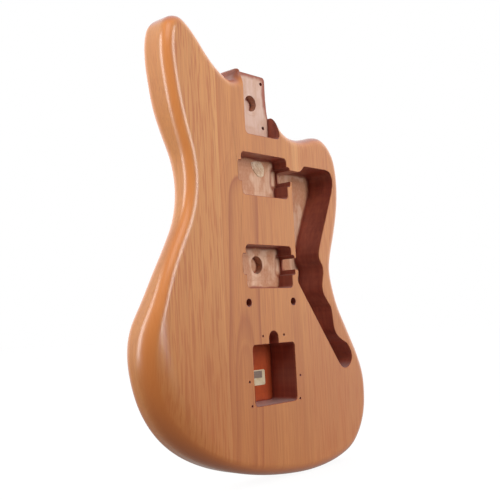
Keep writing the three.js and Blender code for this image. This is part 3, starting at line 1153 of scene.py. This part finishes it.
@dataclass
class NeckPocket:
    """The pocket that the neck's heel sits in, with its screw holes and one shallow bore."""

    width: float = 0.0565
    length: float = 0.0737
    depth: float = 0.0159
    corner: float = 0.0055
    screw_across: float = 0.0381
    screw_heights: Pair = (0.0146, 0.0654)
    screw_hole: float = 0.0042
    bore_height: float = 0.040
    screw_steps: int = 20
    bore: float = 0.018
    bore_depth: float = 0.0082
    bore_mouth: float = 0.0004

    def cutters(self, thickness: float) -> list[Cutter]:
        """Lists what is cut out for the neck.

        Args:
            thickness: the body's thickness, which the screw holes go through.

        Returns:
            The cutters.
        """
        side = self.width / 2
        plan = rounded_rectangle((-side, 0), (side, self.length + OVERRUN), self.corner)
        bore = circle((0, self.bore_height), self.bore / 2)
        found = [
            Cutter(plan, self.depth, Surface.POCKET_FLOOR, grid=FINE_GRID),
            Cutter.bore(bore, self.depth, self.bore_depth, Surface.POCKET_FLOOR, self.bore_mouth),
        ]
        for height in self.screw_heights:
            found += Cutter.pair(self.screw_across / 2, height, self.screw_hole,
                                 thickness + OVERRUN, self.screw_steps, mouth=0, top=0)
        return found


@dataclass
class PickupCavity:
    """One pickup's rectangle, with a deeper ear on either side and a channel for its wire.

    Attributes:
        centre: how far the rectangle's centre lies from the heel end of the pocket.
        bored: whether its floor has a round bore.
        ear_rise: how far the ears' middle lies above the centre.
        channel_rise: how far the channel's middle lies above the ears'.
        bore_rise: how far the bore's middle lies above the centre.
    """

    centre: float
    bored: bool = False
    width: float = 0.075
    length: float = 0.0458
    depth: float = 0.0191
    corner: float = 0.0045
    ear_reach: float = 0.0056
    ear_length: float = 0.022
    ear_depth: float = 0.0214
    ear_corner: float = 0.003
    ear_rise: float = 0.0024
    channel_width: float = 0.0126
    channel_rise: float = 0.0014
    channel_corner: float = 0.0004
    bore: float = 0.0193
    bore_depth: float = 0.008
    bore_mouth: float = 0.0005
    bore_rise: float = 0.0032

    def channel_edges(self) -> Pair:
        """Gives the lower and upper edges of the wire channel."""
        middle = self.centre + self.ear_rise + self.channel_rise
        return middle - self.channel_width / 2, middle + self.channel_width / 2

    def cutters(self) -> list[Cutter]:
        """Lists what is cut out for the pickup.

        Returns:
            The cutters.
        """
        side, half, ear = self.width / 2, self.length / 2, self.ear_length / 2
        reach = side + self.ear_reach
        low, high = self.centre - half, self.centre + half
        middle = self.centre + self.ear_rise
        bottom, top = self.channel_edges()
        channel = rounded_rectangle((side - OVERRUN, bottom), (reach + OVERRUN, top),
                                    self.channel_corner)
        cuts = [(rounded_rectangle((-side, low), (side, high), self.corner), self.depth),
                (channel, self.depth)]
        for left, right in ((-reach, self.ear_reach - side), (side - self.ear_reach, reach)):
            plan = rounded_rectangle((left, middle - ear), (right, middle + ear), self.ear_corner)
            cuts.append((plan, self.ear_depth))
        found = [Cutter(plan, depth, Surface.FLOOR, grid=FINE_GRID) for plan, depth in cuts]
        if self.bored:
            bore = circle((0, self.centre + self.bore_rise), self.bore / 2)
            found.append(Cutter.bore(bore, self.depth, self.bore_depth, Surface.FLOOR, self.bore_mouth))
        return found


@dataclass
class ControlCavity:
    """The long cavity for the controls, from the neck pickup down to the lower bout.

    Attributes:
        slab: the slab that its shares are of.
        channel_top: where its side begins, at the upper edge of the pickup's wire channel.
        top_shares, shoulder_shares, edge_shares, waist_shares: the smooth runs of its outline,
            clockwise, with a corner after each.
    """

    slab: Slab
    channel_top: float
    depth: float = 0.0358
    steps_per_point: int = 6
    top_shares: Shares = ((0.174, -0.07), (0.189, -0.064), (0.199, -0.0565), (0.21, -0.0546))
    shoulder_shares: Shares = (
        (0.322, -0.0546), (0.342, -0.0585), (0.3545, -0.071), (0.356, -0.0875), (0.348, -0.11),
    )
    edge_shares: Shares = (
        (0.27, -0.233), (0.259, -0.253), (0.2545, -0.269), (0.259, -0.281), (0.271, -0.294),
        (0.274, -0.308), (0.268, -0.328), (0.264, -0.346), (0.271, -0.3625), (0.289, -0.38),
        (0.3055, -0.395), (0.311, -0.41), (0.314, -0.429), (0.3205, -0.45), (0.336, -0.4655),
        (0.361, -0.477), (0.3865, -0.486), (0.404, -0.502), (0.411, -0.518), (0.401, -0.534),
        (0.378, -0.544), (0.3535, -0.542), (0.335, -0.53),
    )
    waist_shares: Shares = (
        (0.148, -0.345), (0.138, -0.334), (0.137, -0.325), (0.1405, -0.3115), (0.1365, -0.299),
        (0.131, -0.285), (0.1328, -0.275),
    )

    def cutters(self) -> list[Cutter]:
        """Lists what is cut out for the controls.

        Returns:
            The one cutter.
        """
        start = (self.slab.point(self.waist_shares[-1])[0], self.channel_top)
        runs = [start]
        for shares in (self.top_shares, self.shoulder_shares, self.edge_shares, self.waist_shares):
            runs.append(smooth_run(self.slab.point(shares), self.steps_per_point))
        return [Cutter(np.vstack(runs)[::-1], self.depth, Surface.FLOOR, grid=WIDE_GRID)]


@dataclass
class BridgeAndTremolo:
    """The two bridge post sockets, and the tremolo cavity with its arm slot and pilot holes.

    Attributes:
        bridge, cavity_top: how far the posts and the cavity's upper side lie from the heel end.
        slot_reach: how far the arm slot reaches past the cavity's upper side.
        pilot_shares: each pair of pilot holes: how far either lies from the middle, and how far
            below the cavity's upper side, as shares of the cavity's width and length.
    """

    bridge: float = -0.1815
    post_spacing: float = 0.0735
    post_hole: float = 0.0084
    post_depth: float = 0.025
    post_mouth: float = 0.0004
    cavity_top: float = -0.226
    width: float = 0.0693
    length: float = 0.0634
    depth: float = 0.035
    corner: float = 0.0045
    slot_width: float = 0.015
    slot_reach: float = 0.0136
    pilot_hole: float = 0.0026
    pilot_depth: float = 0.014
    pilot_mouth: float = 0.0003
    pilot_steps: int = 16
    pilot_shares: Shares = ((0.25, -0.139), (0.605, 0.584), (0.573, 0.98))

    def cutters(self) -> list[Cutter]:
        """Lists what is cut out for the bridge and the tremolo unit.

        Returns:
            The cutters.
        """
        side, slot = self.width / 2, self.slot_width / 2
        cavity = rounded_rectangle(
            (-side, self.cavity_top - self.length), (side, self.cavity_top), self.corner)
        arm_slot = rounded_rectangle(
            (-slot, self.cavity_top - self.slot_width), (slot, self.cavity_top + self.slot_reach), slot)
        return [
            Cutter(cavity, self.depth, Surface.DARK_FLOOR, grid=WIDE_GRID),
            Cutter(arm_slot, self.depth, Surface.DARK_FLOOR, grid=WIDE_GRID),
            *Cutter.pair(self.post_spacing / 2, self.bridge, self.post_hole, self.post_depth,
                         mouth=self.post_mouth),
            *self.pilot_holes(),
        ]

    def pilot_holes(self) -> list[Cutter]:
        """Lists the pilot holes round the cavity.

        Returns:
            The cutters.
        """
        found = []
        for spread, down in self.pilot_shares:
            along = self.cavity_top - down * self.length
            found += Cutter.pair(spread * self.width, along, self.pilot_hole, self.pilot_depth,
                                 self.pilot_steps, mouth=self.pilot_mouth)
        return found


@dataclass
class GluedBody:
    """The slab with everything cut out of it, parted into its three boards.

    Attributes:
        layout: where the plan lies.
        slab: the slab.
        bass_seam, treble_seam: X of the two glue lines.
        smooth_angle: above how many degrees an edge stays sharp.
        end_share: how an open end counts against a wall in a floor's distances, so that its
            stain reaches further in.
    """

    layout: Layout
    slab: Slab
    bass_seam: float = -0.072
    treble_seam: float = 0.060
    smooth_angle: float = 32
    end_share: float = 0.45

    def cut(self, cutters: Sequence[Cutter]) -> bpy.types.Object:
        """Cuts all the cutters out of the slab.

        Args:
            cutters: what is cut out.

        Returns:
            The body in one piece.
        """
        body = self.slab.build()
        for _ in Surface:
            body.data.materials.append(None)
        for cutter in cutters:
            tool = cutter.build(self.layout)
            apply_modifier(body, "BOOLEAN", object=tool, operation="DIFFERENCE", solver="MANIFOLD")
            bpy.data.objects.remove(tool)
        return body

    def measure_floors(self, body: bpy.types.Object) -> None:
        """Notes on each point of a floor how far it lies from a wall or from an open end.

        Args:
            body: the body in one piece.
        """
        mesh = bmesh.new()
        mesh.from_mesh(body.data)
        layer = mesh.verts.layers.float.new(WALL_DISTANCE)
        floors = (Surface.FLOOR, Surface.DARK_FLOOR, Surface.POCKET_FLOOR)
        points = {v for face in mesh.faces if face.material_index in floors for v in face.verts}
        walls, ends = [], []
        for edge in mesh.edges:
            sides = [face for face in edge.link_faces if face.material_index not in floors]
            if len(sides) != 1:
                continue
            if sides[0].material_index == Surface.LACQUER:
                ends.append([vertex.co for vertex in edge.verts])
            elif sides[0].calc_center_median().y < edge.verts[0].co.y:
                walls.append([vertex.co for vertex in edge.verts])
        spots = list(points)
        places = np.array([vertex.co for vertex in spots])
        from_wall = distance_to_line(places, *np.array(walls).transpose(1, 0, 2))
        from_end = distance_to_line(places, *np.array(ends).transpose(1, 0, 2))
        for vertex, distance in zip(spots, np.minimum(from_wall, from_end * self.end_share)):
            vertex[layer] = distance
        mesh.to_mesh(body.data)
        mesh.free()

    def part(self, body: bpy.types.Object, board: Board) -> bpy.types.Object:
        """Saws one board out of a copy of the body.

        Args:
            body: the body in one piece.
            board: which board.

        Returns:
            The board.
        """
        piece = body.copy()
        piece.data = body.data.copy()
        piece.name = piece.data.name = f"{board.value}_wood"
        bpy.context.scene.collection.objects.link(piece)
        if board is Board.BASS:
            self.saw(piece, self.bass_seam, keep_above=False)
        else:
            self.saw(piece, self.bass_seam, keep_above=True)
            self.saw(piece, self.treble_seam, keep_above=board is Board.TREBLE)
        return piece

    def saw(self, piece: bpy.types.Object, seam: float, keep_above: bool) -> None:
        """Cuts a piece at one glue line and closes the cut.

        Args:
            piece: the piece.
            seam: X of the glue line.
            keep_above: whether the treble side of the cut is kept.
        """
        take_up(piece)
        bpy.ops.object.mode_set(mode="EDIT")
        bpy.ops.mesh.select_all(action="SELECT")
        bpy.ops.mesh.bisect(plane_co=(seam, 0, 0), plane_no=(1, 0, 0), use_fill=True,
                            clear_inner=keep_above, clear_outer=not keep_above)
        bpy.ops.object.mode_set(mode="OBJECT")

    def smooth(self, piece: bpy.types.Object) -> None:
        """Shades a board smooth, with its sharp edges kept and its wide faces flat."""
        smooth_by_angle(piece, self.smooth_angle)
        apply_modifier(piece, "WEIGHTED_NORMAL", keep_sharp=True)

    def build(self, cutters: Sequence[Cutter]) -> dict[Board, bpy.types.Object]:
        """Models the three boards.

        Args:
            cutters: what is cut out of them.

        Returns:
            Each board's piece.
        """
        body = self.cut(cutters)
        self.measure_floors(body)
        boards = {board: self.part(body, board) for board in Board}
        bpy.data.objects.remove(body)
        for piece in boards.values():
            self.smooth(piece)
        return boards

    def dress(self, boards: dict[Board, bpy.types.Object]) -> None:
        """Gives the three boards their finishes.

        Args:
            boards: each board's piece.
        """
        materials = {surface: finish.material() for surface, finish in CUT_FINISHES.items()}
        for board, piece in boards.items():
            piece.data.materials[Surface.LACQUER] = WOODS[board].material(self.layout.heel)
            for surface, material in materials.items():
                piece.data.materials[surface] = material


@dataclass
class PaperLabel:
    """The paper label that lies on the tremolo cavity's floor, with one corner lifting.

    Attributes:
        layout: where the plan lies.
        centre: the label's middle on the plan.
        cells: how many cells it is divided into, across and along.
        paper: how thick it is.
        lift: how far its lifting corner rises.
        ripple, ripple_waves: how high it ripples as a share of that, and how closely.
        block_shares: where the sides of its grey block lie: bass, treble, lower, upper.
    """

    layout: Layout
    floor_depth: float = 0.035
    centre: Pair = (0.00208, -0.26341)
    size: Pair = (0.0398, 0.0168)
    cells: tuple[int, int] = (16, 7)
    corner: float = 0.002
    paper: float = 0.00014
    lift: float = 0.00022
    ripple: float = 0.08
    ripple_waves: Pair = (420, 300)
    smooth_angle: float = 40
    block_shares: tuple[float, float, float, float] = (-0.42, 0.39, -0.04, 0.44)

    def build(self) -> bpy.types.Object:
        """Models the label.

        Returns:
            The label.
        """
        deselect_all()
        across, along = self.cells
        bpy.ops.mesh.primitive_grid_add(x_subdivisions=across, y_subdivisions=along, size=1)
        piece = bpy.context.object
        piece.name = piece.data.name = "tremolo_cavity_label_paper"
        bpy.ops.object.mode_set(mode="EDIT")
        bpy.ops.transform.resize(value=(*self.size, 1))
        bpy.ops.mesh.select_mode(type="VERT")
        mesh = bmesh.from_edit_mesh(piece.data)
        for vertex in mesh.verts:
            vertex.select_set(len(vertex.link_faces) == 1)
        mesh.select_flush_mode()
        bpy.ops.mesh.bevel(offset=self.corner, segments=CORNER_STEPS, affect="VERTICES")
        mesh = bmesh.from_edit_mesh(piece.data)
        for vertex in mesh.verts:
            vertex.co = self.lay(vertex.co.x, vertex.co.y)
        bmesh.update_edit_mesh(piece.data)
        bpy.ops.object.mode_set(mode="OBJECT")
        apply_modifier(piece, "SOLIDIFY", thickness=self.paper, offset=-1.0)
        smooth_by_angle(piece, self.smooth_angle)
        return piece

    def lay(self, across: float, along: float) -> np.ndarray:
        """Lays one point of the flat label down in the cavity.

        Args:
            across: its place across the label, from the middle.
            along: its place along the body, from the middle.

        Returns:
            Its place in the row frame.
        """
        towards_corner = max(0.0, across / self.size[0] - along / self.size[1])
        wave, long_wave = self.ripple_waves
        ripple = self.ripple * (1 + math.sin(across * wave) * math.cos(along * long_wave))
        raised = self.lift * (towards_corner ** 3 + ripple)
        plan = np.array([(self.centre[0] + across, self.centre[1] + along)])
        return self.layout.place(plan, self.floor_depth - self.paper - raised)[0]

    def dress(self, piece: bpy.types.Object) -> None:
        """Gives the label its paper, with the grey block in its place.

        Args:
            piece: the label.
        """
        bass, treble, low, high = self.block_shares
        width, height = self.size
        middle = self.layout.heel + self.centre[1]
        block = (self.centre[0] + bass * width, self.centre[0] + treble * width,
                 middle + low * height, middle + high * height)
        piece.data.materials.append(LabelPaper(block).material())


@dataclass
class FillerSmear:
    """The smear of hardened filler on the neck pickup cavity's floor, with a raised rim.

    Attributes:
        layout: where the plan lies.
        centre: how far the cavity's middle lies from the heel end of the pocket.
        sunk: how far its foot sinks into the floor.
        cavity: the cavity's width and length, which the outline's shares are of.
        edge_shares: its outline, from the cavity's middle.
        ring_shares: how far inwards and how high each of its rings lies.
        rough: each wave that roughens its height: how strong it is, how often it goes round,
            and how much it shifts from ring to ring.
        ragged: the wave that draws its rings in and out: how strong, how often, and its start.
        rim_height: above what height a ring is roughened downwards only.
        innermost: how far inwards a ring lies at most.
    """

    layout: Layout
    centre: float
    floor_depth: float = 0.0191
    thickness: float = 0.00075
    sunk: float = 0.00005
    cavity: Pair = (0.075, 0.0458)
    steps_per_point: int = 9
    smooth_angle: float = 60
    rough: Sequence[Triple] = ((0.10, 5, 9), (0.08, 11, -14))
    ragged: Triple = (0.25, 7, 2)
    rim_height: float = 0.7
    innermost: float = 0.97
    edge_shares: Shares = (
        (-0.017, 0.4), (0.085, 0.435), (0.197, 0.437), (0.24, 0.373), (0.276, 0.279),
        (0.248, 0.09), (0.145, 0.059), (0.069, 0.133), (0.029, 0.212), (-0.009, 0.33),
    )
    ring_shares: Shares = (
        (0.0, -0.07), (0.0, 0.45), (0.025, 0.8), (0.07, 1.0), (0.12, 0.92), (0.19, 0.6),
        (0.30, 0.52), (0.48, 0.62), (0.68, 0.5), (0.86, 0.58),
    )

    def build(self) -> bpy.types.Object:
        """Models the smear ring by ring, from its foot over the rim to its middle.

        Returns:
            The smear.
        """
        knots = np.array(self.edge_shares) * self.cavity + (0, self.centre)
        outline = smooth_run(np.vstack((knots, knots[:1])), self.steps_per_point)[:-1]
        middle = outline.mean(axis=0)
        turn = np.linspace(0, 2 * math.pi, len(outline), endpoint=False)
        rings = []
        drawn, times, start = self.ragged
        for inset, height in self.ring_shares:
            reach = np.clip(inset * (1 + drawn * np.sin(times * turn + start)), 0, self.innermost)
            ring = outline + (middle - outline) * reach[:, None]
            rough = sum(share * np.sin(often * turn + shift * inset)
                        for share, often, shift in self.rough)
            rough = np.where(height > self.rim_height, -abs(rough), rough)
            raised = -self.sunk if height < 0 else self.thickness * height * (1 + rough)
            rings.append(self.layout.place(ring, self.floor_depth - raised))
        piece = loft("neck_pickup_filler_smear", rings)
        smooth_by_angle(piece, self.smooth_angle)
        return piece

    def dress(self, piece: bpy.types.Object) -> None:
        """Gives the smear its finish."""
        piece.data.materials.append(DriedFiller().material())


@dataclass
class Studio:
    """The plain pale floor, the soft lights and the camera.

    Attributes:
        strip_turns, strip_powers: how far aside of the camera the upright lights stand, and
            their power in watts.
        low_reach, low_lift: from and to how far off the light on the floor reaches, and how
            high it lies.
        room_light, room_dusk: how bright the room is behind the body and behind the camera.
        room_turn: from and to how far towards the camera it grows dark.
        floor_glow: how brightly the camera sees the floor.
        sweep_glow, sweep_reach: how brightly the floor lights the body from behind, and from
            and to how far towards the camera that fades.
    """

    focal_length: float = 58.0
    sensor: float = 36.0
    camera_place: Triple = (-0.66322, -0.57741, -0.21240)
    turn: float = math.radians(-48.379)
    tilt: float = math.radians(4.846)
    roll: float = math.radians(-2.952)
    near_clip: float = 0.01
    strip_turns: Pair = (math.radians(57), math.radians(-57))
    strip_powers: Pair = (44.0, 45.0)
    strip_distance: float = 2.2
    strip_size: Pair = (0.75, 1.9)
    low_reach: Pair = (0.75, 2.1)
    low_lift: float = 0.002
    low_power: float = 6.5
    top_distance: float = 0.85
    top_height: float = 0.75
    top_size: float = 0.6
    top_power: float = 3.0
    room_light: float = 1.35
    room_dusk: float = 0.10
    room_turn: Pair = (-0.5, 0.7)
    floor_size: float = 12.0
    floor_dark: Colour = (0.09, 0.09, 0.09, 1)
    floor_pale: Colour = (0.11, 0.11, 0.11, 1)
    floor_glow: float = 0.92
    sweep_glow: float = 0.85
    sweep_reach: Pair = (-0.4, 0.3)

    def build(self, floor_level: float) -> None:
        """Sets up the whole studio.

        Args:
            floor_level: Z of the floor.
        """
        self.camera()
        self.backdrop()
        self.floor(floor_level)
        for turn, power in zip(self.strip_turns, self.strip_powers):
            way = self.towards_camera(turn) * self.strip_distance
            stand = way + UP * (floor_level + self.strip_size[1] / 2)
            self.softbox("strip_light", stand, -way, self.strip_size, power)
        near, far = self.low_reach
        aside = self.towards_camera(self.strip_turns[1])
        low = aside * (near + far) / 2 + UP * (floor_level + self.low_lift)
        self.softbox("low_light", low, UP, (self.strip_size[0], far - near), self.low_power, aside)
        above = self.towards_camera() * self.top_distance + UP * self.top_height
        self.softbox("top_light", above, -above, (self.top_size, self.top_size), self.top_power)
        bpy.context.scene.view_settings.view_transform = "Standard"

    def camera(self) -> None:
        """Sets up the camera."""
        data = bpy.data.cameras.new("camera")
        data.lens = self.focal_length
        data.sensor_width = self.sensor
        data.clip_start = self.near_clip
        camera = bpy.data.objects.new("camera", data)
        bpy.context.scene.collection.objects.link(camera)
        turned = Matrix.Rotation(self.turn, 4, "Z") @ Matrix.Rotation(math.pi / 2 + self.tilt, 4, "X")
        rolled = turned @ Matrix.Rotation(self.roll, 4, "Z")
        camera.matrix_world = Matrix.Translation(self.camera_place) @ rolled
        bpy.context.scene.camera = camera

    def towards_camera(self, aside: float = 0.0) -> Vector:
        """Gives the level direction from the body to the camera, or one turned aside."""
        way = Vector((math.sin(self.turn), -math.cos(self.turn), 0))
        return Matrix.Rotation(aside, 3, "Z") @ way

    def backdrop(self) -> None:
        """Surrounds the scene with white, darker on the camera's side of the room."""
        world = bpy.data.worlds.new("white_room")
        bpy.context.scene.world = world
        world.use_nodes = True
        nodes = Nodes(world.node_tree)
        nearer = nodes.along(nodes.give("TexCoord", output="Generated"), self.towards_camera())
        light = nodes.ease(nearer, *self.room_turn, self.room_light, self.room_dusk)
        seen = nodes.give("LightPath", output="Is Camera Ray")
        background = world.node_tree.nodes["Background"]
        nodes.feed(background, "Color", (1, 1, 1, 1))
        nodes.feed(background, "Strength", nodes.spread(seen, 0.0, 1.0, light, 1.0))

    def floor(self, level: float) -> None:
        """Lays the floor.

        Args:
            level: its height.
        """
        deselect_all()
        bpy.ops.mesh.primitive_plane_add(size=self.floor_size, location=(0, 0, level))
        plane = bpy.context.object
        plane.name = "studio_floor"
        recipe = Recipe("pale_floor", self.floor_dark)
        recipe.lay(recipe.noise(3.0), self.floor_pale)
        nearer = recipe.along(recipe.place, self.towards_camera())
        behind = recipe.spread(nearer, *self.sweep_reach, self.sweep_glow, 0.0)
        seen = recipe.give("LightPath", output="Is Camera Ray")
        glow = recipe.spread(seen, 0.0, 1.0, behind, self.floor_glow)
        material = recipe.finish(0.8, emission_color=(1, 1, 1, 1), emission_strength=glow,
                                 specular_ior_level=0.0)
        plane.data.materials.append(material)

    def softbox(self, name: str, stand: Vector, aim: Vector, size: Pair, power: float,
                along: Vector = UP) -> None:
        """Sets up one softbox, which the camera doesn't see.

        Args:
            name: its name.
            stand: where its middle is.
            aim: the direction that it shines in.
            size: its width and length.
            power: its power in watts.
            along: the direction that its length runs in.
        """
        data = bpy.data.lights.new(name, "AREA")
        data.shape = "RECTANGLE"
        data.size, data.size_y = size
        data.energy = power
        light = bpy.data.objects.new(name, data)
        light.visible_camera = False
        aim = aim.normalized()
        side = along.cross(aim).normalized()
        turned = Matrix((side, aim.cross(side), -aim)).transposed()
        light.matrix_world = Matrix.Translation(stand) @ turned.to_4x4()
        bpy.context.scene.collection.objects.link(light)


def stand_for(piece: bpy.types.Object, node: str) -> None:
    """Puts a piece in its node's place and reports it.

    Args:
        piece: the piece.
        node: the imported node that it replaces.
    """
    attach(piece, "root")
    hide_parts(node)
    log.info("%s: %d faces", piece.name, len(piece.data.polygons))


def main() -> None:
    """Builds the body piece by piece and reports each one."""
    layout = Layout.of_frame(Slab.tongue_length)
    slab = Slab(layout)
    neck_pickup = PickupCavity(centre=-0.0438)
    bridge_pickup = PickupCavity(centre=-0.1432, bored=True)
    control = ControlCavity(slab, neck_pickup.channel_edges()[1])
    cutters = [
        *NeckPocket().cutters(slab.thickness), *neck_pickup.cutters(), *bridge_pickup.cutters(),
        *control.cutters(), *BridgeAndTremolo().cutters(),
    ]
    body = GluedBody(layout, slab)
    boards = body.build(cutters)
    body.dress(boards)
    for board, piece in boards.items():
        stand_for(piece, board.value)
    label = PaperLabel(layout)
    paper = label.build()
    label.dress(paper)
    stand_for(paper, "tremolo_cavity_label")
    smear = FillerSmear(layout, neck_pickup.centre)
    filler = smear.build()
    smear.dress(filler)
    stand_for(filler, "neck_pickup_filler")
    Studio().build(CAD_BOX[0].z)


if __name__ == "__main__":
    logging.basicConfig(level=logging.INFO, format="%(message)s")
    main()
